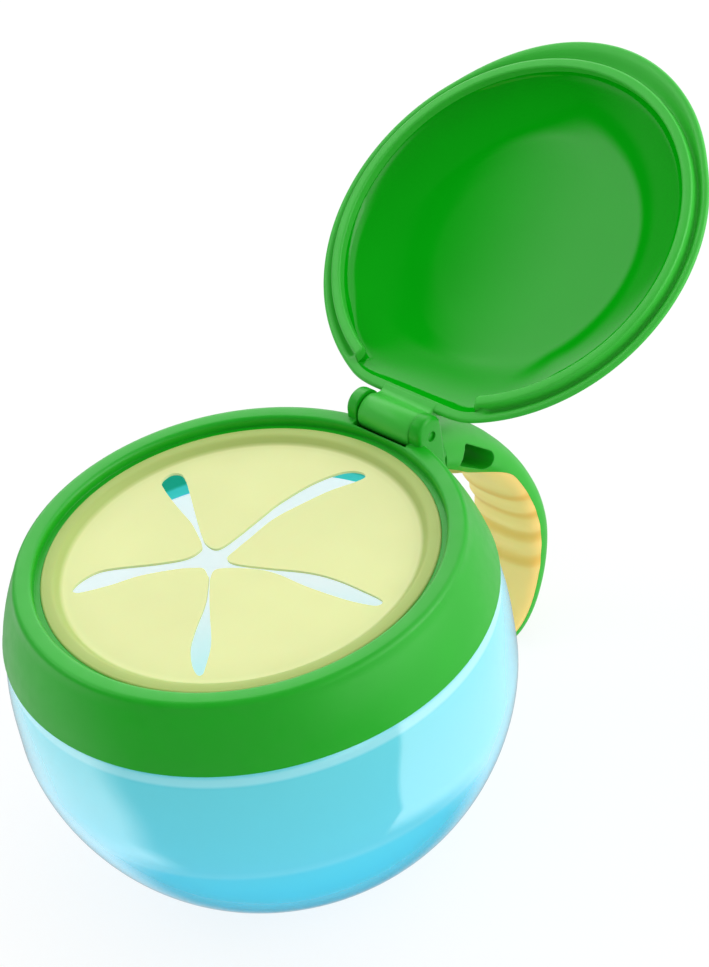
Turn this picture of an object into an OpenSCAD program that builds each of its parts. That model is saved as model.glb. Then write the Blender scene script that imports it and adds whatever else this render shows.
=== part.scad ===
/* [Bowl] */
// Greatest outer radius of the bowl
bowl_r = 51; // [49.5:0.5:60]
// Height of the bowl's widest ring above the base
belly_z = 36.5; // [30:0.5:42]
// Radius of the flat base
base_r = 26; // [20:0.5:32]
// Height of the collar's lower edge above the base
collar_z = 56; // [50:0.5:70]
// Fullness of the bowl's lower curve, 2 being an ellipse
belly_power = 1.68; // [1.5:0.02:2.4]
// Wall of the bowl
bowl_wall = 2; // [1.5:0.1:3]
// Thickness of the seal between the neck and the flange
seal_t = 1.2; // [0.8:0.1:2]

/* [Collar] */
// How far the collar's lower edge stands inside the bowl's greatest radius
collar_step = 1; // [0:0.25:3]
// Thickness of the collar's skirt round the neck
skirt_wall = 4.8; // [3:0.1:6]
// Height of the collar from its lower edge to its top land
collar_h = 14.1; // [13.6:0.1:16]
// Distance from the collar's outer radius in to the wall of the mouth
mouth_in = 8.9; // [7:0.1:11]
// Thickness of the flange that carries the valve
flange_t = 2; // [1.6:0.1:2.4]
// Width of the flange under the valve's rim
flange_w = 3; // [2:0.1:4]
// Depth of the flange's top below the top land
flange_drop = 2.9; // [2.6:0.1:3.2]

/* [Valve] */
// Width of the step between the mouth's wall and the valve's rim
seat_step = 1.3; // [0.8:0.1:2]
// Height of the valve's rim above the flange
rim_t = 1.2; // [0.8:0.1:1.6]
// Thickness of the soft disc and its flaps
valve_t = 1.2; // [1:0.1:1.4]
// Depth of the disc's top below the rim's top
valve_dish = 1.5; // [1:0.1:1.8]
// Distance from the slots' outer ends to the edge of the disc
slot_margin = 2.7; // [2:0.1:5]
// Greatest width of a slot
slot_w = 4.4; // [3:0.1:5]
// Width of a slot where it leaves the hub
slot_neck = 0.8; // [0.6:0.1:1.2]
// Sideways place of the slots' hub
star_x = -4.8; // [-6:0.1:6]
// Front to back place of the slots' hub
star_y = -3; // [-6:0.1:6]

/* [Lid] */
// How far the lid's rim reaches over the edge of the mouth
lid_lap = 2; // [1.5:0.1:3]
// Height of the lid above its rim
lid_h = 9.5; // [9:0.1:12]
// Wall of the lid
lid_wall = 1.8; // [1.4:0.1:2.4]
// How far the thumb lip reaches beyond the rim
lip_reach = 3.5; // [2:0.1:4.5]
// Angle by which the lid stands open from closed
open_angle = 151; // [90:1:151]

/* [Hinge] */
// Distance of the hinge axis inside the collar's outer radius
hinge_in = 3.8; // [3:0.1:5]
// Radius of the hinge barrel
barrel_r = 3.8; // [3.2:0.1:3.9]
// Radius of the hinge pin
pin_r = 1.1; // [0.8:0.05:1.4]
// Half the distance over the two ears
ear_x = 10.1; // [9.5:0.1:12]
// Thickness of each ear
ear_t = 2.8; // [2:0.1:3.4]

/* [Handle] */
// Half the width of the handle
handle_w = 9; // [7:0.1:9.4]
// Thickness of the handle along the grip
handle_t = 8; // [6.5:0.1:11]
// Thickness of the arm between the collar and the grip
arm_t = 12.2; // [10:0.1:13]
// Farthest reach of the handle's spine behind the hinge axis
handle_out = 33; // [28:0.5:42]
// Height of the handle's lower end above the base
handle_low = 1; // [0:0.5:20]
// Depth of the green spine along the grip
spine_t = 4.9; // [3:0.1:6]
// Number of finger ribs on the grip
rib_count = 5; // [4:1:7]
// Height of a finger rib
rib_rise = 0.6; // [0.3:0.1:0.9]

/* [Hidden] */

round_fn = 96;
fit_gap = 0.4;        // between pieces that move past each other
axial_gap = 0.3;      // beside the barrel and above the bowl's shoulder
pin_gap = 0.06;       // around the pin in the barrel
web_t = 2.2;          // plate that joins the lid to its knuckle
green = [0.33, 0.74, 0.32];
blue = [0.55, 0.87, 0.95, 0.75];
lime = [0.90, 0.94, 0.66];
cream = [0.90, 0.82, 0.45];

collar_r = bowl_r - collar_step;    // the collar's lower edge
shoulder_r = collar_r - 1;
shoulder_z = collar_z - axial_gap;
skirt_r = collar_r - skirt_wall;    // inside of the collar round the neck
neck_r = skirt_r - 1.2;             // room for the thread
mouth_r = collar_r - mouth_in;      // the wall that the lid plugs into
valve_r = mouth_r - seat_step;
flange_r = valve_r - flange_w;
wall_r = flange_r - 0.9;            // edge of the valve's disc
land_z = collar_z + collar_h;
flange_z = land_z - flange_drop;
lip_z = flange_z - flange_t - seal_t;
rim_z = flange_z + rim_t;           // top of the valve's rim
disc_z = rim_z - valve_dish;        // top of the valve's disc
hinge_y = collar_r - hinge_in;
hinge_z = land_z + fit_gap;         // the lid's rim plane and the hinge axis
lid_r = mouth_r + lid_lap;
rib_out = mouth_r - fit_gap - 0.1;
rib_in = rib_out - 2.2;
rib_drop = hinge_z - rim_z - fit_gap;

// Direction of each slot from the bowl's axis, and its sideways bow
slot_angles = [9, 84, 159, 229, 301];
slot_bows = [1.6, 3.2, 0, -1.4, 0];
end_r = 1.4;
slot_ends = [for (a = slot_angles) (wall_r - slot_margin - end_r) * [cos(a), sin(a)]];
hub = [star_x, star_y];

function polar(r, a) = [r * cos(a), r * sin(a)];

// ---------- bowl ----------
function bowl_side(shrink, base_z, steps = 16) = concat(
    [for (i = [0 : steps])
        let (a = 90 * i / steps, e = 2 / belly_power, foot = base_r - shrink / 2)
        [foot + (bowl_r - shrink - foot) * pow(sin(a), e),
         base_z + (belly_z - base_z) * (1 - pow(cos(a), e))]],
    [for (i = [1 : steps])
        let (t = i / steps, top = shoulder_z - shrink)
        [bowl_r - shrink - (bowl_r - shoulder_r) * pow(t, 4),
         belly_z + (top - belly_z) * t]]);

module bowl() {
    round_z = 0.8;
    outside = bowl_side(0, 0);
    inside = bowl_side(bowl_wall, bowl_wall);
    color(blue) rotate_extrude($fn = round_fn) difference() {
        polygon(concat([[0, 0]], outside,
            [[neck_r, shoulder_z], [neck_r, lip_z - round_z], [neck_r - round_z, lip_z], [0, lip_z]]));
        polygon(concat([[0, bowl_wall]], inside,
            [[neck_r - bowl_wall, shoulder_z - bowl_wall / 2], [neck_r - bowl_wall, lip_z + 1], [0, lip_z + 1]]));
    }
}

module neck_seal() {
    color(lime) rotate_extrude($fn = round_fn)
        translate([neck_r - bowl_wall, lip_z])
            square([bowl_wall + 0.6, flange_z - flange_t - lip_z]);
}

// ---------- collar ----------
function collar_edge(h) = collar_r - 0.203 * h - 0.0125 * h * h;

module collar_ring() {
    crown = collar_h - 1.3;
    edge = collar_edge(crown);
    rotate_extrude($fn = round_fn) translate([0, collar_z]) polygon(concat(
        [[skirt_r + 2.4, 0], [collar_r - 0.6, 0], [collar_r - 0.05, 0.5]],
        [for (i = [1 : 10]) [collar_edge(crown * i / 10), crown * i / 10]],
        [for (a = [20 : 20 : 80]) [edge - 1.3 + 1.3 * cos(a), crown + 1.3 * sin(a)]],
        [[edge - 1.4, collar_h], [mouth_r + 0.8, collar_h]],
        [for (a = [110 : 20 : 170]) [mouth_r + 0.8 + 0.8 * cos(a), collar_h - 0.8 + 0.8 * sin(a)]],
        [[mouth_r, rim_z - 0.4 - collar_z], [valve_r, rim_z - 0.4 - collar_z],
         [valve_r, flange_z - collar_z], [flange_r, flange_z - collar_z],
         [flange_r, flange_z - flange_t - collar_z], [skirt_r, flange_z - flange_t - collar_z],
         [skirt_r, 1.2]]));
}

// Side view of an ear, drawn in by inset
module ear_side(inset) {
    foot_z = collar_z + 3;
    front = hinge_y - 3.7 + inset;
    back = hinge_y + 3.4 - inset;
    translate([hinge_y - 0.1, hinge_z + 0.8]) circle(r = 3.6 - inset, $fn = 48);
    polygon([[front, hinge_z + 0.8], [front - 0.4, foot_z + 5], [front + 1, foot_z],
        [back - 0.4, foot_z], [back, hinge_z + 0.8]]);
}

function touch(p, r) = let (a = atan2(p[1], p[0]) + acos(r / norm(p))) r * [cos(a), sin(a)];

// Side view of the lid's knuckle and its web about the hinge axis, drawn out by grow
module knuckle_side(grow) {
    start = [-4.7 - grow, -grow];
    circle(r = barrel_r + grow, $fn = 64);
    polygon([start, touch(start, barrel_r + grow), [0, 0], [0, web_t], [start[0], web_t]]);
}

module ear(side) {
    round_x = 0.9;
    mirror([side > 0 ? 0 : 1, 0, 0]) translate([ear_x - ear_t, 0, 0])
        rotate([90, 0, 90]) hull() {
            linear_extrude(ear_t - round_x) ear_side(0);
            for (a = [30 : 30 : 90])
                linear_extrude(ear_t - round_x * (1 - sin(a))) ear_side(round_x * (1 - cos(a)));
        }
}

module collar() {
    pocket = ear_x - ear_t;
    color(green) difference() {
        union() {
            collar_ring();
            difference() {
                union() {
                    ear(1);
                    ear(-1);
                    arm_root();
                }
                translate([0, 0, collar_z - 1]) cylinder(r = skirt_r + 0.5, h = flange_z - collar_z, $fn = round_fn);
                translate([0, 0, collar_z]) cylinder(r = mouth_r + 1.2, h = 40, $fn = round_fn);
            }
        }
        translate([-pocket, hinge_y, hinge_z]) rotate([90, 0, 90])
            linear_extrude(2 * pocket) knuckle_side(fit_gap);
        translate([-pocket, hinge_y - barrel_r, hinge_z - 0.2])
            cube([2 * pocket, 2 * barrel_r, 10]);
        translate([-20, hinge_y, hinge_z]) rotate([0, 90, 0]) cylinder(r = pin_r, h = 40, $fn = 48);
    }
}

module hinge_pin() {
    inset = 0.5;
    color(green) translate([inset - ear_x, hinge_y, hinge_z]) rotate([0, 90, 0])
        cylinder(r = pin_r, h = 2 * (ear_x - inset), $fn = 48);
}

// ---------- valve ----------
function slot_width(t) = t < 0.72
    ? slot_neck + (slot_w - slot_neck) * pow(sin(90 * t / 0.72), 2)
    : end_r * 2 + (slot_w - end_r * 2) * cos(90 * (t - 0.72) / 0.28);

function slot_mid(i, t) =
    let (run = slot_ends[i] - hub, side = [-run[1], run[0]] / norm(run))
    hub + run * t + side * slot_bows[i] * 4 * t * (1 - t);

function slot_edge(i, t, way) =
    let (d = slot_mid(i, t + 0.01) - slot_mid(i, t - 0.01), side = [-d[1], d[0]] / norm(d))
    slot_mid(i, t) + side * way * slot_width(t) / 2;

module slots() {
    steps = 14;
    for (i = [0 : 4]) {
        polygon(concat(
            [for (k = [0 : steps]) slot_edge(i, k / steps, 1)],
            [for (k = [steps : -1 : 0]) slot_edge(i, k / steps, -1)]));
        translate(slot_ends[i]) circle(r = end_r, $fn = 24);
    }
    translate(hub) circle(r = 2.6, $fn = 32);
}

module chord_strip(i, depth) {
    a = slot_ends[i];
    b = slot_ends[(i + 1) % 5];
    translate(a) rotate(atan2(b[1] - a[1], b[0] - a[0]))
        translate([0, -depth]) square([norm(b - a), depth + 0.1]);
}

module valve_ring() {
    color(lime) {
        rotate_extrude($fn = round_fn) polygon([
            [wall_r - 0.6, disc_z - valve_t], [flange_r, disc_z - valve_t], [flange_r, flange_z],
            [valve_r, flange_z], [valve_r, rim_z - 0.3], [valve_r - 0.3, rim_z],
            [flange_r + 0.2, rim_z], [wall_r, disc_z], [wall_r - 0.6, disc_z]]);
        translate([0, 0, disc_z - valve_t]) linear_extrude(valve_t) difference() {
            circle(r = wall_r - 0.3, $fn = round_fn);
            polygon(slot_ends);
            slots();
            for (i = [0 : 4]) chord_strip(i, valve_t / 2 + axial_gap);
        }
    }
}

module flap(i) {
    steps = 10;
    a = slot_ends[i];
    b = slot_ends[(i + 1) % 5];
    trim = end_r + 0.6;
    color(lime) {
        translate([0, 0, disc_z - valve_t]) linear_extrude(valve_t) difference() {
            polygon(concat(
                [for (k = [0 : steps]) slot_mid(i, k / steps)],
                [for (k = [steps : -1 : 1]) slot_mid((i + 1) % 5, k / steps)]));
            slots();
        }
        translate([a[0], a[1], disc_z - valve_t / 2]) rotate(atan2(b[1] - a[1], b[0] - a[0]))
            translate([trim, 0, 0]) rotate([0, 90, 0])
                cylinder(r = valve_t / 2, h = norm(b - a) - 2 * trim, $fn = 24);
    }
}
module flap_1() { flap(0); }
module flap_2() { flap(1); }
module flap_3() { flap(2); }
module flap_4() { flap(3); }
module flap_5() { flap(4); }

// ---------- handle ----------
root_y = hinge_y + barrel_r + fit_gap;   // where the arm leaves the collar
reach = hinge_y + handle_out;
reach_z = handle_low + 25;
path_steps = 88;
half_steps = path_steps / 2;
section_power = 2.4;
grip_start = 16;      // first ring of the path that carries the grip
ribs_top = collar_z - 13.4;
ribs_low = handle_low + 11;

function bezier(p, t) = pow(1 - t, 3) * p[0] + 3 * t * pow(1 - t, 2) * p[1]
    + 3 * t * t * (1 - t) * p[2] + pow(t, 3) * p[3];
function bezier_run(p, t) = 3 * pow(1 - t, 2) * (p[1] - p[0])
    + 6 * t * (1 - t) * (p[2] - p[1]) + 3 * t * t * (p[3] - p[2]);

// The spine's crown in the side view, as [distance behind the axis, height]
upper_run = [[hinge_y, land_z - 0.1], [hinge_y + 15, land_z - 1.6],
    [reach, land_z - 26.1], [reach, reach_z]];
lower_run = [[reach, reach_z], [reach, handle_low + 16],
    [reach - 6.2, handle_low + 1.2], [reach - 16, handle_low]];
function crown(i) = i <= half_steps
    ? bezier(upper_run, i / half_steps) : bezier(lower_run, i / half_steps - 1);
function crown_run(i) = i <= half_steps
    ? bezier_run(upper_run, i / half_steps) : bezier_run(lower_run, i / half_steps - 1);
function inward(i) = let (d = crown_run(i) / norm(crown_run(i))) [d[1], -d[0]];

function lower_part(i) = max(0, (i - half_steps) / half_steps);
function width_at(i) = handle_w * (1 - 0.08 * pow(lower_part(i), 3));
function ease(a, b, t) = a + (b - a) * (0.5 - 0.5 * cos(180 * min(1, max(0, t))));
function thick_at(i) = ease(arm_t, handle_t, (i - 12) / 18) * (1 - 0.4 * pow(lower_part(i), 2));
function ribs_at(i) = let (t = (ribs_top - crown(i)[1]) / (ribs_top - ribs_low))
    t < 0 || t > 1 ? 0 : rib_rise * (0.5 - 0.5 * cos(360 * rib_count * t));
function split_at(i) = min(0.95, i < half_steps
    ? ease(2 * spine_t, spine_t, (i - grip_start - 1) / 12) / thick_at(i) : spine_t / handle_t);

function section_point(i, a, extra) =
    let (e = 2 / section_power, half_t = thick_at(i) / 2, w = width_at(i),
         swell = sin(a) < 0 ? extra * min(1, 1.6 * abs(sin(a))) : 0,
         u = (w + swell) * sign(cos(a)) * pow(abs(cos(a)), e),
         v = half_t - (half_t + swell) * sign(sin(a)) * pow(abs(sin(a)), e),
         p = crown(i) + inward(i) * v)
    [u, p[0], p[1]];
// Angle on the section at which the spine ends and the grip starts
function split_angle(i) =
    let (s = 1 - 2 * split_at(i))
    sign(s) * asin(pow(abs(s), section_power / 2));

spine_sides = 18;
grip_sides = 18;
function spine_ring(i) = let (low = split_angle(i))
    [for (k = [0 : spine_sides]) section_point(i, low + (180 - 2 * low) * k / spine_sides, 0)];
function grip_ring(i) = let (low = split_angle(i))
    [for (k = [0 : grip_sides]) section_point(i, 180 - low + (180 + 2 * low) * k / grip_sides, ribs_at(i))];

module loft(rings) {
    n = len(rings[0]);
    last = len(rings) - 1;
    polyhedron(
        points = [for (r = rings) each r],
        faces = concat(
            [[for (k = [0 : n - 1]) k]],
            [for (i = [0 : last - 1], k = [0 : n - 1])
                let (a = i * n + k, b = i * n + (k + 1) % n)
                each [[a, a + n, b], [b, a + n, b + n]]],
            [[for (k = [n - 1 : -1 : 0]) last * n + k]]),
        convexity = 6);
}

module arm_root() {
    outline = [for (p = spine_ring(4)) [p[0], p[2]]];
    translate([0, root_y, 0]) rotate([90, 0, 0]) linear_extrude(8) polygon(outline);
}

// Eye for a strap, seen from the side
module strap_eye() {
    rotate([90, 0, 90]) translate([0, 0, -15]) linear_extrude(30) hull() {
        translate([root_y + 4.4, land_z - 13.1]) circle(r = 0.6, $fn = 20);
        translate([root_y + 6.2, land_z - 9.8]) circle(r = 0.6, $fn = 20);
        translate([root_y + 11.2, land_z - 16.8]) circle(r = 2.2, $fn = 28);
    }
}

module handle() {
    color(green) difference() {
        loft([for (i = [0 : path_steps]) spine_ring(i)]);
        translate([-20, root_y - 40, land_z - 24.1]) cube([40, 40, 60]);
        strap_eye();
    }
}

module grip() {
    color(cream) loft([for (i = [grip_start : path_steps]) grip_ring(i)]);
}

// ---------- lid, modelled closed and turned to its open rest ----------
floor_r = lid_r - 18.1;             // the flat of the dish inside the lid
rim_back = hinge_y - 4.9;           // the rim's flat back edge
ledge_y = rim_back - 2.1;           // inner edge of the ledge along it
back_half = 15;                     // half the length of the flat back edge
gap_half = 24;                      // half the angle that the rib leaves open at the back
lip_r = lid_r - 2.5;
lip_y = lip_r - lid_r - lip_reach;

function bend(p, t) = pow(1 - t, 2) * p[0] + 2 * t * (1 - t) * p[1] + t * t * p[2];

// Side view of the dish's hollow, whose mouth has the radius edge_r
module dish(edge_r) {
    top = lid_h - lid_wall - 0.5;
    polygon(concat([[0, -6], [edge_r, -6], [edge_r, 0]],
        [for (a = [6 : 6 : 84]) [floor_r + (edge_r - floor_r) * cos(a), top * sin(a)]],
        [[floor_r, top], [0, top]]));
}

module back_sector(inner_r, z, h) {
    reach = 60;
    intersection() {
        translate([0, 0, z]) linear_extrude(h)
            polygon([[0, 0], reach * [sin(gap_half), cos(gap_half)], reach * [-sin(gap_half), cos(gap_half)]]);
        translate([0, 0, z]) difference() {
            cylinder(r = reach, h = h, $fn = round_fn);
            translate([0, 0, -1]) cylinder(r = inner_r, h = h + 2, $fn = round_fn);
        }
    }
}

module lid_body() {
    side = [[lid_r, 0.3], [lid_r - 5.5, lid_h - 0.6], [floor_r - 1, lid_h]];
    rotate_extrude($fn = round_fn) polygon(concat(
        [[0, lid_h]], [for (k = [12 : -1 : 0]) bend(side, k / 12)], [[lid_r - 0.3, 0], [0, 0]]));
    translate([0, lip_y, 0]) rotate_extrude($fn = round_fn) polygon(concat(
        [[0, 0.1], [lip_r - 0.7, 0.1]],
        [for (a = [-60 : 30 : 60]) [lip_r - 1 + cos(a), 1.2 + 1.1 * sin(a)]],
        [[lip_r - 1, 2.4], [0, 2.4]]));
}

// The rim's squared corners at the ends of its flat back edge
module back_corners() {
    side_a = 36;
    linear_extrude(web_t) polygon([[-20, 0], lid_r * [-sin(side_a), cos(side_a)], [-back_half, rim_back],
        [back_half, rim_back], lid_r * [sin(side_a), cos(side_a)], [20, 0]]);
}

module plug_rib() {
    middle = (rib_out + rib_in) / 2;
    end_a = 90 - gap_half;
    difference() {
        rotate_extrude($fn = round_fn) difference() {
            polygon([[rib_in - 8, 4], [rib_in, -0.2], [rib_in, 0.3 - rib_drop], [rib_in + 0.3, -rib_drop],
                [rib_out - 0.4, -rib_drop], [rib_out, 0.4 - rib_drop], [rib_out, 1], [rib_out - 1.2, 4]]);
            dish(rib_in);
        }
        back_sector(1, -5, 20);
    }
    for (side = [-1, 1])
        translate([side * middle * cos(end_a), middle * sin(end_a), -rib_drop])
            cylinder(r = (rib_out - rib_in) / 2, h = rib_drop + 2.5, $fn = 32);
}

module lid_closed() {
    knuckle = ear_x - ear_t - axial_gap;
    difference() {
        union() {
            difference() {
                union() {
                    lid_body();
                    back_corners();
                }
                intersection() {
                    rotate_extrude($fn = round_fn) dish(rib_out);
                    translate([-50, ledge_y - 100, -7]) cube([100, 100, 30]);
                }
                difference() {
                    union() {
                        rotate_extrude($fn = round_fn) translate([rib_out + 0.55, 0]) circle(r = 0.75, $fn = 24);
                        translate([0, lip_y, 0]) rotate_extrude($fn = round_fn)
                            translate([lip_r - 3.2, -1]) circle(r = 2.4, $fn = 40);
                    }
                    back_sector(1, -5, 20);
                }
                translate([-30, rim_back, -5]) cube([60, 20, 30]);
            }
            plug_rib();
            translate([-knuckle, rim_back - 2.4, 0]) cube([2 * knuckle, 4, web_t]);
            translate([-knuckle, hinge_y, 0]) rotate([90, 0, 90])
                linear_extrude(2 * knuckle) knuckle_side(0);
        }
        translate([-20, hinge_y, 0]) rotate([0, 90, 0]) cylinder(r = pin_r + pin_gap, h = 40, $fn = 48);
    }
}

module lid() {
    color(green) translate([0, hinge_y, hinge_z]) rotate([-open_angle, 0, 0])
        translate([0, -hinge_y, 0]) lid_closed();
}

bowl();
neck_seal();
collar();
hinge_pin();
valve_ring();
flap_1();
flap_2();
flap_3();
flap_4();
flap_5();
handle();
grip();
lid();
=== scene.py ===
"""Looks of the toddler snack container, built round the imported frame. Metres, +Z up, front at -Y."""
import math

import bmesh
import bpy
from mathutils import Matrix, Vector
from mathutils.geometry import delaunay_2d_cdt


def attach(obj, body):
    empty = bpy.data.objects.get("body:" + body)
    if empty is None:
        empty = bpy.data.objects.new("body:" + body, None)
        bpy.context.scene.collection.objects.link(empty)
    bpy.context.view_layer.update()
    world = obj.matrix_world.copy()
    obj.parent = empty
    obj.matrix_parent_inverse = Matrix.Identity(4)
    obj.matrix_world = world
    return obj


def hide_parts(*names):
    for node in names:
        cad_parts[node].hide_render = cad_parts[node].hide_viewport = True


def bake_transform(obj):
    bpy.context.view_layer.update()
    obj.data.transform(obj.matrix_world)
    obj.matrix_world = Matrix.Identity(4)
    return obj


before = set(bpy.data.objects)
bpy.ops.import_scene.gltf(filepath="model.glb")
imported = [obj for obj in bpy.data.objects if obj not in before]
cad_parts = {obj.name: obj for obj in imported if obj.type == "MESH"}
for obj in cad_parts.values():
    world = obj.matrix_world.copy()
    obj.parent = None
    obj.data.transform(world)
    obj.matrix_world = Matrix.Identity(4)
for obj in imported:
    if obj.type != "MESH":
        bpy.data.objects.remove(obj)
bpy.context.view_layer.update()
MM = 0.001

# ---------- camera ----------
PHOTO_H = 967
CAM_AZIMUTH, CAM_ELEVATION, CAM_ROLL = 49.33, 37.92, -10.86   # degrees
CAM_DISTANCE = 577.3 * MM
CAM_TARGET = Vector((0, 0, 59 * MM))
CAM_PAN_RIGHT, CAM_PAN_UP = 21.06 * MM, 20.89 * MM
CAM_FOCAL_PX = 2923.3
SENSOR_MM = 36


def add_camera():
    a, e, r = (math.radians(v) for v in (CAM_AZIMUTH, CAM_ELEVATION, CAM_ROLL))
    back = Vector((math.sin(a) * math.cos(e), -math.cos(a) * math.cos(e), math.sin(e)))
    level = Vector((math.cos(a), math.sin(a), 0))
    upright = back.cross(level)
    right = level * math.cos(r) + upright * math.sin(r)
    up = upright * math.cos(r) - level * math.sin(r)
    cam = bpy.data.cameras.new("camera")
    cam.sensor_width = SENSOR_MM
    cam.lens = CAM_FOCAL_PX * SENSOR_MM / PHOTO_H
    cam.clip_start = 0.01
    obj = bpy.data.objects.new("camera", cam)
    bpy.context.collection.objects.link(obj)
    spot = CAM_TARGET + back * CAM_DISTANCE + right * CAM_PAN_RIGHT + up * CAM_PAN_UP
    axes = Matrix((right, up, back)).transposed().to_4x4()
    obj.matrix_world = Matrix.Translation(spot) @ axes
    bpy.context.scene.camera = obj


# ---------- the CAD's sizes that the looks follow, in mm ----------
BOWL_R, BELLY_Z, BASE_R, BELLY_POWER, BOWL_WALL = 51, 36.5, 26, 1.68, 2
SHOULDER_R, SHOULDER_Z, NECK_R, LIP_Z = 49, 55.7, 44, 64
FLANGE_R, VALVE_R, WALL_R = 36.8, 39.8, 35.9
FLANGE_Z, RIM_Z, DISC_Z = 67.2, 68.4, 66.9
HINGE_Y, HINGE_Z, OPEN_ANGLE, BARREL_R, KNUCKLE = 46.2, 70.5, 151, 3.8, 7
LID_R, LID_H, DISH_TOP, DISH_FLAT, RIM_BACK, LEDGE_Y = 43.1, 9.5, 7.2, 25, 41.3, 39.2
RIB_IN, RIB_OUT, RIB_DROP, RIB_GAP = 38.4, 40.6, 1.7, 24
RIBS_TOP, RIBS_LOW, RIB_COUNT = 42.6, 12, 5      # the grip's finger ribs: heights and how many


# ---------- materials ----------
NOISE_RANGE = (0.3, 0.7)        # where nearly all of a noise texture's values lie
CLEAR = (1, 1, 1, 1)            # changes nothing when it multiplies a colour


def linear(*values):
    """Linear colour of an sRGB one given from 0 to 255."""
    out = []
    for v in values:
        v /= 255
        out.append(v / 12.92 if v <= 0.04045 else ((v + 0.055) / 1.055) ** 2.4)
    return (*out, 1)


class Shader:
    """Short calls for building one material's nodes."""

    def __init__(self, name):
        self.mat = bpy.data.materials.new(name)
        self.mat.use_nodes = True
        self.tree = self.mat.node_tree
        self.bsdf = self.tree.nodes["Principled BSDF"]

    def set(self, **values):
        for key, value in values.items():
            self.bsdf.inputs[key.replace("_", " ")].default_value = value

    def add(self, kind, settings=None, **inputs):
        made = self.tree.nodes.new(kind)
        for key, value in (settings or {}).items():
            setattr(made, key, value)
        for key, value in inputs.items():
            socket = made.inputs[key.replace("_", " ")]
            if isinstance(value, bpy.types.NodeSocket):
                self.tree.links.new(value, socket)
            else:
                socket.default_value = value
        return made

    def link(self, source, name):
        self.tree.links.new(source, self.bsdf.inputs[name])

    def place(self):
        return self.add("ShaderNodeTexCoord").outputs["Object"]

    def height(self):
        return self.add("ShaderNodeSeparateXYZ", Vector=self.place()).outputs["Z"]

    def radius(self):
        """Distance from the bowl's axis."""
        flat = self.add("ShaderNodeVectorMath", {"operation": "MULTIPLY"})
        self.tree.links.new(self.place(), flat.inputs[0])
        flat.inputs[1].default_value = (1, 1, 0)
        length = self.add("ShaderNodeVectorMath", {"operation": "LENGTH"})
        self.tree.links.new(flat.outputs[0], length.inputs[0])
        return length.outputs["Value"]

    def rescaled(self, value, low, high, first=0.0, last=1.0):
        """A value that runs from low to high, made to run from first to last and held there beyond them."""
        made = self.add("ShaderNodeMapRange", Value=value,
                        From_Min=low, From_Max=high, To_Min=first, To_Max=last)
        return made.outputs["Result"]

    def ramp(self, value, low, high, stops):
        """Colour over a value that runs from low to high. Stops are (value, colour)."""
        made = self.add("ShaderNodeValToRGB", Fac=self.rescaled(value, low, high))
        band = made.color_ramp
        while len(band.elements) < len(stops):
            band.elements.new(0.5)
        for element, (spot, color) in zip(band.elements, stops):
            element.position = (spot - low) / (high - low)
            element.color = color
        return made.outputs["Color"]

    def noise(self, scale, detail=2.0):
        return self.add("ShaderNodeTexNoise", Vector=self.place(), Scale=scale, Detail=detail).outputs["Fac"]

    def mottled(self, color, scale, spread):
        """A colour that wanders by the share spread to each side."""
        low = [c * (1 - spread) for c in color[:3]] + [1]
        high = [min(1, c * (1 + spread)) for c in color[:3]] + [1]
        return self.ramp(self.noise(scale), *NOISE_RANGE, list(zip(NOISE_RANGE, (low, high))))

    def multiply(self, one, two):
        mixed = self.add("ShaderNodeMix", {"data_type": "RGBA", "blend_type": "MULTIPLY"})
        mixed.inputs[0].default_value = 1
        self.tree.links.new(one, mixed.inputs[6])
        self.tree.links.new(two, mixed.inputs[7])
        return mixed.outputs[2]

    def roughness(self, low, high, scale):
        self.link(self.rescaled(self.noise(scale), *NOISE_RANGE, low, high), "Roughness")

    def grain(self, scale, depth, soften=0.0):
        """A fine moulded grain, and edges that look softened by a radius."""
        bump = self.add("ShaderNodeBump", Height=self.noise(scale, 3.0), Distance=depth, Strength=1.0)
        if soften:
            bevel = self.add("ShaderNodeBevel", {"samples": 4}, Radius=soften)
            self.tree.links.new(bevel.outputs["Normal"], bump.inputs["Normal"])
        self.link(bump.outputs["Normal"], "Normal")


def green_plastic(name, base):
    s = Shader(name)
    s.link(s.mottled(base, 60, 0.03), "Base Color")
    s.roughness(0.34, 0.42, 300)
    s.set(Specular_IOR_Level=0.5)
    s.grain(2500, 0.004 * MM, 0.35 * MM)
    return s.mat


def green_gloss_plastic():
    """The lid's polished inside."""
    s = Shader("green_gloss_plastic")
    s.link(s.mottled((0.001, 0.41, 0.004, 1), 60, 0.02), "Base Color")
    s.roughness(0.3, 0.36, 300)
    s.set(Specular_IOR_Level=0.0, Coat_Weight=0.5, Coat_Roughness=0.07)
    return s.mat


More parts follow.
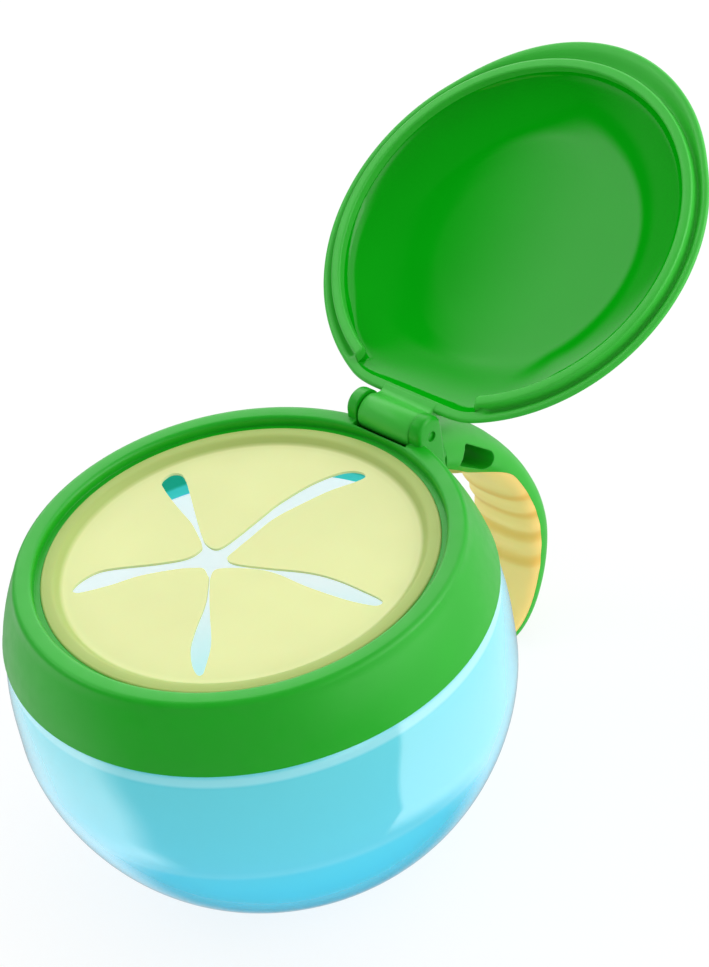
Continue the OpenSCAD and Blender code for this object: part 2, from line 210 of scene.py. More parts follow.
def bowl_shell_plastic():
    """Clear skin: deeper blue low down, a thin pale line over that, and a wide one under the collar. Both
    lines are painted highlights, and the skin's emission is a painted glow, strongest low down.
    """
    s = Shader("clear_blue_plastic")
    # painted highlights: the thin pale line at the inner foot's height, and the wide pale band under the
    # collar where the shoulder rounds over
    tint_and_painted_highlights = s.ramp(s.height(), 0, LIP_Z * MM, [
        (0, linear(60, 200, 236)), (20 * MM, linear(66, 206, 232)), (28.6 * MM, linear(80, 206, 226)),
        (29.8 * MM, linear(122, 214, 226)), (31.5 * MM, linear(106, 206, 218)),
        (53.3 * MM, linear(106, 206, 216)), (53.8 * MM, linear(175, 230, 236)),
        (54.9 * MM, linear(175, 230, 236)), (55.5 * MM, linear(120, 212, 222)),
        (LIP_Z * MM, linear(120, 212, 222))])
    s.link(tint_and_painted_highlights, "Base Color")
    # painted glow: emission by height, strongest low down, for the light that the thick plastic carries
    glow = s.ramp(s.height(), 0, LIP_Z * MM, [
        (0, (0.02, 0.29, 0.38, 1)), (18 * MM, (0.02, 0.27, 0.34, 1)), (31 * MM, (0.04, 0.22, 0.29, 1)),
        (50 * MM, (0.035, 0.19, 0.22, 1))])
    s.link(glow, "Emission Color")
    s.set(Emission_Strength=1.0, Alpha=0.82, IOR=2.2, Coat_Weight=1.0, Coat_IOR=2.0, Coat_Roughness=0.02)
    s.roughness(0.03, 0.05, 40)
    return s.mat


def bowl_core_plastic():
    """The blue wall seen through the clear skin. It glows in its own colour: a painted glow for the light
    passing through the wall.
    """
    s = Shader("milky_blue_plastic")
    color = s.mottled(linear(105, 216, 226), 25, 0.03)
    s.link(color, "Base Color")
    s.roughness(0.25, 0.35, 60)
    # painted glow: the base colour is emitted as well
    s.set(Specular_IOR_Level=0.3, Emission_Strength=1.05)
    s.link(color, "Emission Color")
    return s.mat


def bowl_inside_plastic():
    """What shows through the slots: a pale bowl under a teal neck. It glows in its own colour, a painted glow
    for the light inside the bowl.
    """
    s = Shader("pale_blue_inside")
    color = s.ramp(s.height(), 0, LIP_Z * MM, [
        (0, linear(195, 235, 242)), (10 * MM, linear(205, 238, 245)),
        (22 * MM, linear(252, 241, 246)), (49 * MM, linear(252, 241, 246)),
        (49.3 * MM, linear(30, 180, 212)), (50.2 * MM, linear(70, 203, 208)),
        (56.2 * MM, linear(60, 196, 200)), (56.9 * MM, linear(0, 158, 136)),
        (LIP_Z * MM, linear(0, 160, 138))])
    s.link(color, "Base Color")
    s.set(Roughness=0.4, Specular_IOR_Level=0.2)
    # painted glow in the base colour
    s.link(color, "Emission Color")
    s.set(Emission_Strength=0.35)
    return s.mat


def lime_silicone():
    """Pale disc, with the see-through zone at the wall and a lighter rim, a painted highlight along the
    disc's edge.
    """
    s = Shader("lime_silicone")
    # the last, lighter stop at the edge is a painted highlight
    radial = s.ramp(s.radius(), 30 * MM, 40 * MM, [
        (30 * MM, linear(231, 237, 168)), (35.4 * MM, linear(227, 234, 164)),
        (36.3 * MM, linear(180, 200, 112)), (39 * MM, linear(178, 198, 110)),
        (40 * MM, linear(200, 212, 128))])
    s.link(s.multiply(radial, s.mottled((0.97, 0.97, 0.97, 1), 40, 0.03)), "Base Color")
    s.roughness(0.4, 0.5, 200)
    s.set(Specular_IOR_Level=0.35, Subsurface_Weight=0.15, Subsurface_Scale=1.5 * MM)
    s.grain(3000, 0.004 * MM)
    return s.mat


def cream_rubber():
    """Cream, with painted shade deepening the valleys between the finger ribs, and a faint painted glow."""
    s = Shader("cream_rubber")
    crest = (RIBS_TOP - RIBS_LOW) / RIB_COUNT / 2
    turns = s.rescaled(s.height(), (RIBS_LOW + crest) * MM, (RIBS_TOP - crest) * MM,
                       math.pi, (2 * RIB_COUNT - 1) * math.pi)
    wave = s.add("ShaderNodeMath", {"operation": "COSINE"})
    s.tree.links.new(turns, wave.inputs[0])
    # painted shade: clear on the crests, darker in the valleys
    valley_shade = s.ramp(wave.outputs[0], -1, 1, [
        (-1, CLEAR), (0, (0.96, 0.95, 0.9, 1)), (1, (0.84, 0.76, 0.5, 1))])
    color = s.multiply(valley_shade, s.mottled((1.0, 0.62, 0.19, 1), 80, 0.03))
    s.link(color, "Base Color")
    # painted glow in the base colour
    s.link(color, "Emission Color")
    s.set(Emission_Strength=0.2)
    s.roughness(0.5, 0.6, 300)
    s.set(Specular_IOR_Level=0.3, Subsurface_Weight=0.1, Subsurface_Scale=1.5 * MM)
    s.grain(2200, 0.006 * MM, 0.3 * MM)
    return s.mat


GREEN = green_plastic("green_satin_plastic", (0.003, 0.42, 0.006, 1))
# painted light: the lid and the handle take lighter copies of the satin green, for the light that the lid's
# rims and the handle's spine catch
LID_GREEN_PAINTED_LIGHT = green_plastic("green_lid_plastic_painted_light", (0.04, 0.54, 0.04, 1))
SPINE_GREEN_PAINTED_LIGHT = green_plastic("green_handle_plastic_painted_light", (0.015, 0.48, 0.014, 1))
GREEN_GLOSS = green_gloss_plastic()
SHELL = bowl_shell_plastic()
CORE = bowl_core_plastic()
INSIDE = bowl_inside_plastic()
LIME = lime_silicone()
CREAM = cream_rubber()


# ---------- mesh tools ----------
def mesh_object(name, points, faces, materials, face_materials=None):
    """An object from points in mm, smooth but for edges over 40 degrees."""
    mesh = bpy.data.meshes.new(name)
    mesh.from_pydata([[c * MM for c in p] for p in points], [], faces)
    for mat in materials:
        mesh.materials.append(mat)
    if face_materials:
        mesh.polygons.foreach_set("material_index", face_materials)
    bm = bmesh.new()
    bm.from_mesh(mesh)
    bmesh.ops.remove_doubles(bm, verts=bm.verts, dist=1e-7)
    bmesh.ops.recalc_face_normals(bm, faces=bm.faces)
    bm.to_mesh(mesh)
    bm.free()
    mesh.polygons.foreach_set("use_smooth", [True] * len(mesh.polygons))
    mesh.set_sharp_from_angle(angle=math.radians(40))
    obj = bpy.data.objects.new(name, mesh)
    bpy.context.collection.objects.link(obj)
    return obj


TURN_SIDES = 192                # segments of a full turn, on every turned piece and on the disc's seam


def revolve(name, profile, materials, marks=None):
    """A ring or solid turned from a closed profile of (radius, height). Marks give each edge's material."""
    points, faces, face_marks = [], [], []
    n = len(profile)
    for k in range(TURN_SIDES):
        a = 2 * math.pi * k / TURN_SIDES
        points += [(r * math.cos(a), r * math.sin(a), z) for r, z in profile]
    for k in range(TURN_SIDES):
        here, there = k * n, (k + 1) % TURN_SIDES * n
        for i in range(n):
            j = (i + 1) % n
            if profile[i][0] < 1e-6 and profile[j][0] < 1e-6:
                continue
            corners = [here + i, there + i, there + j, here + j]
            if profile[i][0] < 1e-6:
                corners.remove(there + i)
            if profile[j][0] < 1e-6:
                corners.remove(there + j)
            faces.append(corners)
            face_marks.append(marks[i] if marks else 0)
    return mesh_object(name, points, faces, materials, face_marks)


def soften(obj, angle):
    """Joins a CAD node's split faces and shades them smooth below an angle, without touching its vertices."""
    tree = bpy.data.node_groups.new("soften_" + obj.name, "GeometryNodeTree")
    tree.interface.new_socket("Geometry", in_out="INPUT", socket_type="NodeSocketGeometry")
    tree.interface.new_socket("Geometry", in_out="OUTPUT", socket_type="NodeSocketGeometry")
    nodes, links = tree.nodes, tree.links
    start, end = nodes.new("NodeGroupInput"), nodes.new("NodeGroupOutput")
    merge = nodes.new("GeometryNodeMergeByDistance")
    merge.inputs["Distance"].default_value = 1e-6
    faces = nodes.new("GeometryNodeSetShadeSmooth")
    faces.domain = "FACE"
    edges = nodes.new("GeometryNodeSetShadeSmooth")
    edges.domain = "EDGE"
    edges.inputs["Shade Smooth"].default_value = False
    bend = nodes.new("GeometryNodeInputMeshEdgeAngle")
    test = nodes.new("FunctionNodeCompare")
    test.operation = "GREATER_THAN"
    test.inputs["B"].default_value = math.radians(angle)
    links.new(bend.outputs["Unsigned Angle"], test.inputs["A"])
    links.new(start.outputs[0], merge.inputs["Geometry"])
    links.new(merge.outputs[0], faces.inputs["Geometry"])
    links.new(faces.outputs[0], edges.inputs["Geometry"])
    links.new(test.outputs["Result"], edges.inputs["Selection"])
    links.new(edges.outputs[0], end.inputs[0])
    obj.modifiers.new("soften", "NODES").node_group = tree


# ---------- bowl ----------
SIDE_STEPS = 40                 # points from the foot to the belly, and again from there to the shoulder
SKIN_GAP = 0.05                 # how far the skin's inner face stays out of the CAD wall's
CORE_Z, CORE_WALL = 5, 0.4      # the tinted core's lowest point and its thickness


def bowl_side(shrink, base_z):
    """The CAD bowl's side, drawn in by shrink, from the foot to the shoulder."""
    e = 2 / BELLY_POWER
    foot, wide, top = BASE_R - shrink / 2, BOWL_R - shrink, SHOULDER_Z - shrink
    lower = [(foot + (wide - foot) * math.sin(a) ** e, base_z + (BELLY_Z - base_z) * (1 - math.cos(a) ** e))
             for a in (math.pi / 2 * i / SIDE_STEPS for i in range(SIDE_STEPS + 1))]
    upper = [(wide - (BOWL_R - SHOULDER_R) * t ** 4, BELLY_Z + (top - BELLY_Z) * t)
             for t in (i / SIDE_STEPS for i in range(1, SIDE_STEPS + 1))]
    return lower + upper


def add_bowl():
    outside = bowl_side(0, 0)
    neck = [(SHOULDER_R - 0.5, SHOULDER_Z), (NECK_R + 0.5, SHOULDER_Z), (NECK_R, SHOULDER_Z + 0.5),
            (NECK_R, LIP_Z - 0.6), (NECK_R - 0.2, LIP_Z - 0.2), (NECK_R - 0.7, LIP_Z)]
    inner = BOWL_WALL - SKIN_GAP
    inside_neck = [(NECK_R - inner, LIP_Z), (NECK_R - inner, SHOULDER_Z - 1)]
    inside = bowl_side(inner, inner)[::-1]
    profile = [(0, 0)] + outside + neck + inside_neck + inside + [(0, inner)]
    shell = revolve("bowl_shell", profile, [SHELL])
    core_out = bowl_side(BOWL_WALL + 0.02, CORE_Z)
    core_in = bowl_side(BOWL_WALL + CORE_WALL, CORE_Z + CORE_WALL)[::-1]
    r_out, r_in = NECK_R - BOWL_WALL - 0.02, NECK_R - BOWL_WALL - 0.3
    core_top = [(r_out, SHOULDER_Z - 1.2), (r_out, LIP_Z), (r_in, LIP_Z), (r_in, SHOULDER_Z - 1.4)]
    profile = [(0, CORE_Z)] + core_out + core_top + core_in + [(0, CORE_Z + CORE_WALL)]
    outer_edges = len(core_out) + 3
    marks = [0] * outer_edges + [1] * (len(profile) - outer_edges)
    core = revolve("bowl_core", profile, [CORE, INSIDE], marks)
    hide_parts("bowl")
    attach(shell, "bowl")
    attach(core, "bowl")


# ---------- valve ----------
# Edge of the star of slots, seen from above, one arm after another round the hub
STAR = [
    (-1.7, -4.5), (4.2, -0.8), (9.5, 0.7), (16.8, 1.1), (25.8, 2.4), (31.2, 3.9), (32.6, 4.9),
    (32.4, 6.0), (31.0, 6.3), (28.1, 6.3), (20.6, 5.9), (14.1, 4.4), (6.1, 0.8), (0.2, -1.6),
    (-2.5, -1.4), (-2.9, 1.0), (-3.0, 5.5), (-3.1, 12.4), (-1.5, 18.9), (0.6, 25.3), (3.0, 29.8), (3.8, 32.3),
    (2.2, 33.1), (-0.4, 32.0), (-2.5, 29.1), (-4.4, 24.0), (-5.6, 16.7), (-5.6, 11.9), (-5.6, 2.5),
    (-6.5, -0.5), (-9.4, -0.5), (-12.1, 1.0), (-15.8, 3.5), (-20.0, 6.5), (-24.3, 9.6), (-27.4, 11.7),
    (-29.8, 12.6), (-31.6, 11.4), (-31.4, 8.6), (-29.0, 7.1), (-25.9, 5.8), (-21.2, 4.1), (-16.5, 2.5),
    (-12.2, 0.3), (-9.9, -1.1),
    (-8.9, -2.5), (-9.5, -5.7), (-13.3, -10.0), (-19.4, -15.5), (-22.0, -18.7), (-22.8, -22.5),
    (-22.3, -25.2), (-20.9, -25.4), (-19.4, -23.8), (-16.5, -19.6), (-13.7, -14.7), (-8.9, -9.3),
    (-5.9, -6.9), (-4.3, -6.2), (-2.0, -7.3), (-1.1, -8.0), (3.3, -13.3), (6.7, -19.2), (9.9, -24.0),
    (13.7, -27.4), (16.6, -28.9), (17.4, -28.3), (16.5, -26.6), (12.7, -21.2), (6.5, -15.3),
    (1.5, -10.4), (-1.4, -7.1)]
HUB = (-4.8, -3.0)
TIPS = [(32.3, 5.3), (2.9, 32.9), (-31.0, 11.4), (-21.8, -25.1), (17.0, -28.6)]   # slots 1 to 5
STAR_STEPS = 5                  # points on each stretch of the star's edge
SEAM_R = 34.4                   # where the flaps' roots meet the rim
SKIN = 0.55                     # the disc's thickness
DISC_STEP, ROW_SHARE = 1.5, 0.866      # spacing of the disc's inner points, and their rows' share of it
SEAM_CLEAR, STAR_CLEAR = 0.7, 0.6      # how far those points stay from the seam and from the star


def closed_spline(points, n):
    """A smooth closed curve through the points, with n points on each stretch."""
    out = []
    m = len(points)
    for i in range(m):
        a, b, c, d = (Vector(points[(i + k) % m]) for k in (-1, 0, 1, 2))
        for k in range(n):
            t = k / n
            out.append(0.5 * (2 * b + (c - a) * t + (2 * a - 5 * b + 4 * c - d) * t ** 2
                              + (3 * b - a - 3 * c + d) * t ** 3))
    return out


def inside_loop(p, loop):
    """Whether a closed loop holds a point, from how often its sides cross a line out from the point."""
    hit = False
    j = len(loop) - 1
    for i in range(len(loop)):
        a, b = loop[i], loop[j]
        if (a.y > p.y) != (b.y > p.y) and p.x < (b.x - a.x) * (p.y - a.y) / (b.y - a.y) + a.x:
            hit = not hit
        j = i
    return hit


def sector(p):
    """Index of the flap for a point of the disc, by the straight lines from the hub to the slots' tips.

    The slots curve, so a sliver beside a slot can count to the flap across it.
    """
    a = math.atan2(p.y - HUB[1], p.x - HUB[0])
    edges = [math.atan2(y - HUB[1], x - HUB[0]) for x, y in TIPS]
    for i in range(len(edges)):
        low, high = edges[i], edges[(i + 1) % len(edges)]
        if (a - low) % (2 * math.pi) < (high - low) % (2 * math.pi):
            return i
    return 0


def disc_mesh():
    """Points and triangles of the disc inside the seam, with the star cut out."""
    star = closed_spline(STAR, STAR_STEPS)
    seam = [Vector((SEAM_R * math.cos(a), SEAM_R * math.sin(a)))
            for a in (2 * math.pi * k / TURN_SIDES for k in range(TURN_SIDES))]
    points = star + seam
    edges = [(i, (i + 1) % len(star)) for i in range(len(star))]
    edges += [(len(star) + i, len(star) + (i + 1) % len(seam)) for i in range(len(seam))]
    count = int(SEAM_R / DISC_STEP) + 1
    for row in range(-count, count + 1):
        for col in range(-count, count + 1):
            p = Vector(((col + 0.5 * (row % 2)) * DISC_STEP, row * DISC_STEP * ROW_SHARE))
            if p.length > SEAM_R - SEAM_CLEAR:
                continue
            if min((p - q).length for q in star) < STAR_CLEAR or inside_loop(p, star):
                continue
            points.append(p)
    verts, _, tris, _, _, _ = delaunay_2d_cdt(points, edges, [], 0, 1e-5)
    kept = []
    for t in tris:
        middle = (verts[t[0]] + verts[t[1]] + verts[t[2]]) / 3
        if middle.length < SEAM_R and not inside_loop(middle, star):
            kept.append(t)
    return verts, kept


def flap_mesh(verts, tris):
    """Points and faces of a flap: its triangles above and below, and a wall along each edge but the seam."""
    used = sorted({v for t in tris for v in t})
    index = {v: k for k, v in enumerate(used)}
    n = len(used)
    points = [(verts[v].x, verts[v].y, z) for z in (DISC_Z, DISC_Z - SKIN) for v in used]
    faces, border = [], {}         # border is a dict for its order
    for t in tris:
        a, b, c = (index[v] for v in t)
        faces += [(a, b, c), (c + n, b + n, a + n)]
        for p, q in ((a, b), (b, c), (c, a)):
            if (q, p) in border:
                del border[(q, p)]
            else:
                border[(p, q)] = True
    for p, q in border:
        on_seam = all(math.hypot(points[v][0], points[v][1]) > SEAM_R - 0.05 for v in (p, q))
        if not on_seam:
            faces.append((p, p + n, q + n, q))
    return points, faces


def add_flaps():
    verts, tris = disc_mesh()
    groups = [[] for _ in TIPS]
    for t in tris:
        groups[sector((verts[t[0]] + verts[t[1]] + verts[t[2]]) / 3)].append(t)
    for i, group in enumerate(groups):
        flap = mesh_object(f"valve_flap_{i + 1}", *flap_mesh(verts, group), [LIME])
        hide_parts(f"flap_{i + 1}")
        start, end = Vector(TIPS[i]), Vector(TIPS[(i + 1) % len(TIPS)])
        middle = (start + end) / 2
        across = Vector((-(end - start).y, (end - start).x)).normalized()
        if across.dot(Vector(HUB) - middle) < 0:
            across = -across
        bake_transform(flap)


def add_valve():
    bottom, skirt_z = DISC_Z - SKIN, DISC_Z - 1.2
    skirt_r, edge_r, fillet = FLANGE_R - 0.05, VALVE_R - 0.02, 0.5
    profile = [(SEAM_R, bottom), (WALL_R - 0.4, bottom), (WALL_R, skirt_z), (skirt_r, skirt_z),
               (skirt_r, FLANGE_Z), (edge_r, FLANGE_Z), (edge_r, RIM_Z - fillet)]
    profile += [(edge_r - fillet + fillet * math.cos(a), RIM_Z - fillet + fillet * math.sin(a))
                for a in (math.radians(d) for d in (22, 45, 68, 90))]
    profile += [(FLANGE_R + 0.9, RIM_Z), (FLANGE_R + 0.5, RIM_Z - 0.08), (FLANGE_R + 0.1, RIM_Z - 0.35),
                (WALL_R + 0.4, DISC_Z + 0.5), (WALL_R, DISC_Z + 0.17), (WALL_R - 0.5, DISC_Z + 0.03),
                (SEAM_R, DISC_Z)]
    ring = revolve("valve_rim", profile, [LIME])
    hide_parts("valve_ring")
    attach(ring, "collar")
    add_flaps()


# ---------- lid, drawn closed with its rim plane at height 0 and turned to its open rest ----------
LIP_HALF = 52                   # degrees that the thumb lip takes on each side of the front
LIP_OUT, EDGE_OUT = 2.75, 0.3   # how far the lip and the edge stand out beyond the CAD's circle
MOUTH_R = 41.3                  # the dish's mouth where the rib leaves it open
WEB_T = 2.2                     # how far above the rim plane the knuckle's web reaches
SAG = 0.9                       # how far the dish's floor bows by the end of its flat
DISH_POINTS = 20                # points of a profile that lie in the dish
BACK_HALF, FAR = 60, 99         # degrees from the back in which the flat edges can cut in, and no cut
CORNER_BLEND, MOUTH_BLEND = 1.2, 0.8
RIB_ROUND_IN, RIB_ROUND_OUT, EDGE_ROUND = 0.4, 0.5, 0.6


def clamp(t):
    return min(max(t, 0), 1)


def ease(t):
    """A share from 0 to 1 that starts and ends softly."""
    return t * t * (3 - 2 * t)


def smooth_min(a, b, k):
    """The lesser of two values, with the corner between them rounded over k."""
    h = max(k - abs(a - b), 0) / k
    return min(a, b) - h * h * k / 4


def lid_profile(angle):
    """(radius, height) points from the middle of the dish over the rib and rim to the middle of the top."""
    from_front = abs((math.degrees(angle) + 90 + 180) % 360 - 180)
    from_back = 180 - from_front
    lip = math.cos(math.pi / 2 * clamp(from_front / LIP_HALF)) ** 1.4
    flat = RIM_BACK / math.sin(angle) if from_back < BACK_HALF else FAR
    inner_flat = LEDGE_Y / math.sin(angle) if from_back < BACK_HALF else FAR
    outline = smooth_min(LID_R + EDGE_OUT + LIP_OUT * lip, flat, CORNER_BLEND)
    mouth = smooth_min(MOUTH_R, inner_flat, MOUTH_BLEND)

    # the rib's rounded ends at the back, the groove outside it, and the dish's wall drawn out to the ledge
    along = clamp((from_back - RIB_GAP + 0.8) / 1.8)
    rib = math.sqrt(1 - (1 - along) ** 2)
    drop = RIB_DROP * math.sqrt(1 - (1 - clamp(along * 2.2)) ** 2)
    groove = (0.95 + 0.25 * lip) * ease(clamp((from_back - RIB_GAP - 1.2) / 2.5))
    start, end = mouth + (RIB_IN - mouth) * rib, mouth + (RIB_OUT - mouth) * rib
    drawn = ease(clamp(1 - from_back / 50))
    low = min(RIB_IN + (inner_flat - RIB_IN) * drawn, mouth) if from_back < BACK_HALF else RIB_IN

    # dish
    points = [(r, DISH_TOP - SAG * (r / DISH_FLAT) ** 2) for r in (5, 10, 15, 20, DISH_FLAT)]
    for k in range(1, 16):
        t = 1 - (1 - k / 16) ** 1.8
        wide = low + (start - low) * max(0, (t - 0.86) / 0.14) ** 2
        sag = SAG * (1 + 2 * t * (wide / DISH_FLAT - 1)) * (1 - t * t)
        points.append((DISH_FLAT + (wide - DISH_FLAT) * t, DISH_TOP * (1 - t ** 1.7) ** 0.6 - sag))
    # rib
    points += [(start, 0.3), (start, 0.5 - drop - 0.15 * rib)]
    for a in (25, 50, 75, 90):
        a = math.radians(a)
        points.append((start + RIB_ROUND_IN * rib * (1 - math.cos(a)),
                       -drop + RIB_ROUND_IN * rib * (1 - math.sin(a))))
    for a in (90, 65, 40, 15):
        a = math.radians(a)
        points.append((end - RIB_ROUND_OUT * rib * (1 - math.cos(a)),
                       -drop + RIB_ROUND_OUT * rib * (1 - math.sin(a))))
    # groove, and the bank up to the rim
    bank, edge = end + 0.45, max(outline - 1.25 - 0.1 * lip, end + 0.7)
    points += [(end + 0.01, 0.4 * groove), (end + 0.1, 0.8 * groove), (end + 0.26, groove), (bank, groove)]
    points += [(bank + (edge - bank) * t, groove * (1 - ease(t)) * (1 - 0.3 * lip * t * (1 - t)))
               for t in (0.25, 0.5, 0.75, 1)]
    # rim and lip
    for a in (90, 65, 40, 20, 0):
        a = math.radians(a)
        points.append((outline - EDGE_ROUND * (1 - math.cos(a)), EDGE_ROUND * (1 - math.sin(a))))
    for a in (0, 30, 60, 90):
        a = math.radians(a)
        points.append((outline - (1 - math.cos(a)) * (0.3 + 0.5 * lip),
                       0.8 + 0.7 * lip + math.sin(a) * (0.1 + 0.8 * lip)))
    # dome
    side = [(LID_R + EDGE_OUT, 0.3), (LID_R - 5.5, LID_H - 0.6), (DISH_FLAT - 1, LID_H)]
    for k in range(2, 15):
        t = k / 14
        r, z = ((1 - t) ** 2 * p + 2 * t * (1 - t) * q + t * t * o for p, q, o in zip(*side))
        points.append((min(r, flat), z))
    return points + [(12, LID_H)]


def lid_points():
    """The lid without its knuckle, with closer profiles where the rib ends at the back."""
    angles = {math.radians(1.25 * k) for k in range(288)}
    for side in (-1, 1):
        angles |= {math.radians(90 + side * (18 + 0.2 * k)) for k in range(45)}
    angles = sorted(angles)
    rings = [lid_profile(a) for a in angles]
    n = len(rings[0])
    points = [(r * math.cos(a), r * math.sin(a), z) for a, ring in zip(angles, rings) for r, z in ring]
    faces, marks = [], []
    for k in range(len(angles)):
        here, there = k * n, (k + 1) % len(angles) * n
        faces += [(here + i, there + i, there + i + 1, here + i + 1) for i in range(n - 1)]
        marks += [int(i < DISH_POINTS) for i in range(n - 1)]
    inside, top = len(points), len(points) + 1
    points += [(0, 0, DISH_TOP), (0, 0, LID_H)]
    for k in range(len(angles)):
        here, there = k * n, (k + 1) % len(angles) * n
        faces += [(inside, there, here), (here + n - 1, there + n - 1, top)]
        marks += [1, 0]
    return points, faces, marks


def knuckle_points():
    """The barrel and the web that carries it, as slices along the hinge axis."""
    outline = []
    for k in range(10):          # from the ledge down to the barrel's flank
        t = k / 9
        outline.append(((1 - t) ** 2 * -6.4 + 2 * t * (1 - t) * -4.3 + t * t * -3.4,
                        2 * t * (1 - t) * 0.05 + t * t * -1.7))
    first = math.atan2(-1.7, -3.4)
    outline += [(BARREL_R * math.cos(first + a), BARREL_R * math.sin(first + a))
                for a in (math.radians(7.5 * k) for k in range(1, 32))]
    outline += [(-1.2, WEB_T + 0.9), (-2.4, WEB_T + 0.2), (-4, WEB_T), (-6.4, WEB_T)]
    middle = Vector((-0.8, 0))
    points, slices = [], []
    for x, inset in ((-KNUCKLE, 0.45), (-KNUCKLE + 0.13, 0.13), (-KNUCKLE + 0.45, 0), (0, 0),
                     (KNUCKLE - 0.45, 0), (KNUCKLE - 0.13, 0.13), (KNUCKLE, 0.45)):
        slices.append(len(points))
        for q in outline:
            out = Vector(q) - middle
            y, z = middle + out * (1 - inset / out.length)
            points.append((x, HINGE_Y + y, z))
    n = len(outline)
    faces = [tuple(range(n)), tuple(range(slices[-1] + n - 1, slices[-1] - 1, -1))]
    for a, b in zip(slices, slices[1:]):
        faces += [(a + i, b + i, b + (i + 1) % n, a + (i + 1) % n) for i in range(n)]
    return points, faces


def add_lid():
    points, faces, marks = lid_points()
    more, more_faces = knuckle_points()
    faces += [tuple(i + len(points) for i in f) for f in more_faces]
    points += more
    turn = Matrix.Rotation(math.radians(-OPEN_ANGLE), 3, "X")
    hinge = Vector((0, HINGE_Y, HINGE_Z))
    placed = [turn @ (Vector(p) - Vector((0, HINGE_Y, 0))) + hinge for p in points]
    marks += [0] * len(more_faces)
    lid = mesh_object("lid_shell", placed, faces, [LID_GREEN_PAINTED_LIGHT, GREEN_GLOSS], marks)
    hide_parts("lid")
    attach(lid, "lid")


# ---------- CAD nodes that stay ----------
NODE_MATERIALS = {"neck_seal": LIME, "collar": GREEN, "hinge_pin": GREEN,
                  "handle": SPINE_GREEN_PAINTED_LIGHT, "grip": CREAM}


def dress_nodes():
    for name, mat in NODE_MATERIALS.items():
        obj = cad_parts[name]
        obj.data.materials.clear()
        obj.data.materials.append(mat)
        soften(obj, 32)


# ---------- stage ----------
FLOOR_SIZE, FLOOR_WHITE, CAMERA_SHARE = 20, 1.03, 0.8    # the share of the floor's look that is plain white


def add_floor():
    bpy.ops.mesh.primitive_plane_add(size=FLOOR_SIZE)
    floor = bpy.context.object
    floor.name = "floor"
    s = Shader("floor")
    s.set(Base_Color=(0.97, 0.97, 0.97, 1), Roughness=1.0, Specular_IOR_Level=0.0)
    rays = s.add("ShaderNodeLightPath")
    glow = s.add("ShaderNodeEmission", Color=CLEAR, Strength=FLOOR_WHITE)
    share = s.add("ShaderNodeMath", {"operation": "MULTIPLY"})
    s.tree.links.new(rays.outputs["Is Camera Ray"], share.inputs[0])
    share.inputs[1].default_value = CAMERA_SHARE
    mix = s.add("ShaderNodeMixShader")
    s.tree.links.new(share.outputs[0], mix.inputs[0])
    s.tree.links.new(s.bsdf.outputs[0], mix.inputs[1])
    s.tree.links.new(glow.outputs[0], mix.inputs[2])
    s.tree.links.new(mix.outputs[0], s.tree.nodes["Material Output"].inputs["Surface"])
    floor.data.materials.append(s.mat)
    floor.visible_glossy = False


# Each lamp's name, place, aim and watts, and whether gloss mirrors it
LAMPS = (("key", (-0.82, -0.35, 0.9), (0, 0, 0.05), 1.2, False),
         ("rim", (0.75, 0.6, 0.45), (0, 0.05, 0.05), 1.6, True))
LAMP_SIZE = 0.5


def add_lamp(name, where, aim, power, in_gloss):
    lamp = bpy.data.lights.new(name, "AREA")
    lamp.shape = "RECTANGLE"
    lamp.size = lamp.size_y = LAMP_SIZE
    lamp.energy = power
    obj = bpy.data.objects.new(name, lamp)
    bpy.context.collection.objects.link(obj)
    obj.location = where
    obj.rotation_euler = (Vector(aim) - Vector(where)).to_track_quat("-Z", "Y").to_euler()
    obj.visible_glossy = in_gloss


# Studio round the object. A direction is an azimuth from the front and an elevation, in degrees, and a
# height is the sine of an elevation. First what lights the object, then what glossy surfaces mirror.
GAP_AIM, GAP_HALF, GAP_SOFT = (20, 35), 58, 14       # the dark gap towards the photographer
GAP_LEVEL, WALL_LEVEL, SIDE_SHARE = 0.5, 1.32, 0.17  # SIDE_SHARE is how much stronger the light from +X is
GLOSS_GAP, GLOSS_UP, GLOSS_SIDE_SHARE = 0.1, 1.2, 0.8
HORIZON_SOFT = 0.12
# below the horizon, where the bowl's side looks: a window gap between two walls, a dimmer back, a dark ground
WINDOW = ((-26, 12), (100, 2))                       # its edges and their softness
BACK_EDGES = ((-160, 25), (-100, 20))
GLOSS_WALL, GLOSS_BACK, GLOSS_DOWN, DOWN_HEIGHTS = 0.92, 0.42, 0.12, (-0.9, -0.79)
# above it: a softbox behind, a dark zenith, and the black card and softbox that the lid's inside mirrors
BACK_BOX, BACK_BOX_CONE, GLOSS_BACK_BOX = (-135, 18), (30, 10), 2.2
ZENITH, ZENITH_CONE = (0, 90), (30, 5)
CARD_SIDES, CARD_SIDES_SOFT, CARD_HEIGHTS = (-105, -35), 4, (0.5, 0.95)
BOX_SIDES, BOX_SIDES_SOFT, BOX_HEIGHTS, GLOSS_BOX = (-105, -48), 9, (0.63, 0.81), 2.45
HEIGHTS_SOFT = 0.045


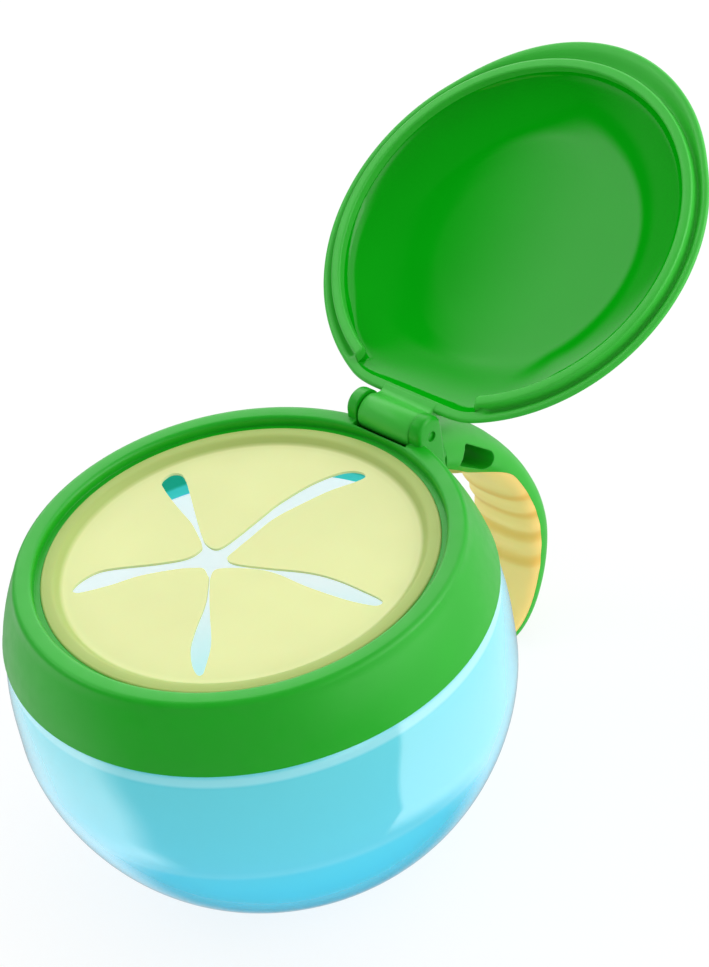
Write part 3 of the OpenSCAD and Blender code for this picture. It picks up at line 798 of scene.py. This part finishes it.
def add_world():
    world = bpy.data.worlds.new("studio")
    bpy.context.scene.world = world
    world.use_nodes = True
    nt = world.node_tree

    def made(kind, **settings):
        n = nt.nodes.new(kind)
        for key, value in settings.items():
            setattr(n, key, value)
        return n

    def math_node(operation, *values):
        n = made("ShaderNodeMath", operation=operation)
        for k, v in enumerate(values):
            if isinstance(v, bpy.types.NodeSocket):
                nt.links.new(v, n.inputs[k])
            else:
                n.inputs[k].default_value = v
        return n.outputs[0]

    def step(value, low, high, first=0.0, last=1.0):
        n = made("ShaderNodeMapRange", interpolation_type="SMOOTHSTEP")
        nt.links.new(value, n.inputs["Value"])
        for key, v in (("From Min", low), ("From Max", high), ("To Min", first), ("To Max", last)):
            n.inputs[key].default_value = v
        return n.outputs["Result"]

    def window_of(value, low, low_soft, high, high_soft):
        """1 from low to high and 0 outside, with a soft edge at each end"""
        return math_node("MULTIPLY", step(value, low - low_soft, low + low_soft),
                         step(value, high - high_soft, high + high_soft, 1.0, 0.0))

    def between(value, ends, soft):
        return window_of(value, ends[0], soft, ends[1], soft)

    def mix(share, one, two):
        """one where share is 0 and two where it is 1"""
        return math_node("ADD", math_node("MULTIPLY", share, two),
                         math_node("MULTIPLY", math_node("SUBTRACT", 1.0, share), one))

    way = made("ShaderNodeTexCoord").outputs["Generated"]
    split = made("ShaderNodeSeparateXYZ")
    nt.links.new(way, split.inputs[0])
    x, y, z = split.outputs

    def cone(aim, half, soft):
        """1 inside a cone round a direction given as azimuth and elevation, and 0 outside it"""
        a, e = (math.radians(v) for v in aim)
        toward = made("ShaderNodeVectorMath", operation="DOT_PRODUCT")
        nt.links.new(way, toward.inputs[0])
        toward.inputs[1].default_value = (math.sin(a) * math.cos(e), -math.cos(a) * math.cos(e), math.sin(e))
        edges = (math.cos(math.radians(half + side * soft)) for side in (1, -1))
        return step(toward.outputs["Value"], *edges)

    gap = cone(GAP_AIM, GAP_HALF, GAP_SOFT)
    level = mix(gap, WALL_LEVEL, GAP_LEVEL)
    level = math_node("MULTIPLY", level, math_node("MULTIPLY_ADD", x, SIDE_SHARE, 1.0))

    around = math_node("MULTIPLY", math_node("ARCTAN2", x, math_node("MULTIPLY", y, -1.0)), 180 / math.pi)
    window = window_of(around, *WINDOW[0], *WINDOW[1])
    behind = window_of(around, *BACK_EDGES[0], *BACK_EDGES[1])
    low = mix(window, mix(behind, GLOSS_WALL, GLOSS_BACK), GLOSS_GAP)
    low = mix(step(z, *DOWN_HEIGHTS), GLOSS_DOWN, low)
    high = math_node("MULTIPLY", mix(gap, GLOSS_UP, GLOSS_GAP),
                     math_node("MULTIPLY_ADD", x, GLOSS_SIDE_SHARE, 1.0))
    high = mix(cone(BACK_BOX, *BACK_BOX_CONE), high, GLOSS_BACK_BOX)
    high = mix(cone(ZENITH, *ZENITH_CONE), high, GLOSS_GAP)
    for where, soft, heights, shine in ((CARD_SIDES, CARD_SIDES_SOFT, CARD_HEIGHTS, 0.0),
                                        (BOX_SIDES, BOX_SIDES_SOFT, BOX_HEIGHTS, GLOSS_BOX)):
        patch = math_node("MULTIPLY", between(z, heights, HEIGHTS_SOFT), between(around, where, soft))
        high = mix(patch, high, shine)
    gloss = mix(step(z, -HORIZON_SOFT, HORIZON_SOFT), low, high)
    rays = made("ShaderNodeLightPath")
    level = mix(rays.outputs["Is Glossy Ray"], level, gloss)
    level = mix(rays.outputs["Is Camera Ray"], level, 1.0)
    back = nt.nodes["Background"]
    nt.links.new(level, back.inputs["Strength"])
    back.inputs["Color"].default_value = CLEAR


add_camera()
add_bowl()
add_valve()
add_lid()
dress_nodes()
add_floor()
add_world()
for lamp_facts in LAMPS:
    add_lamp(*lamp_facts)
bpy.context.scene.view_settings.view_transform = "Standard"
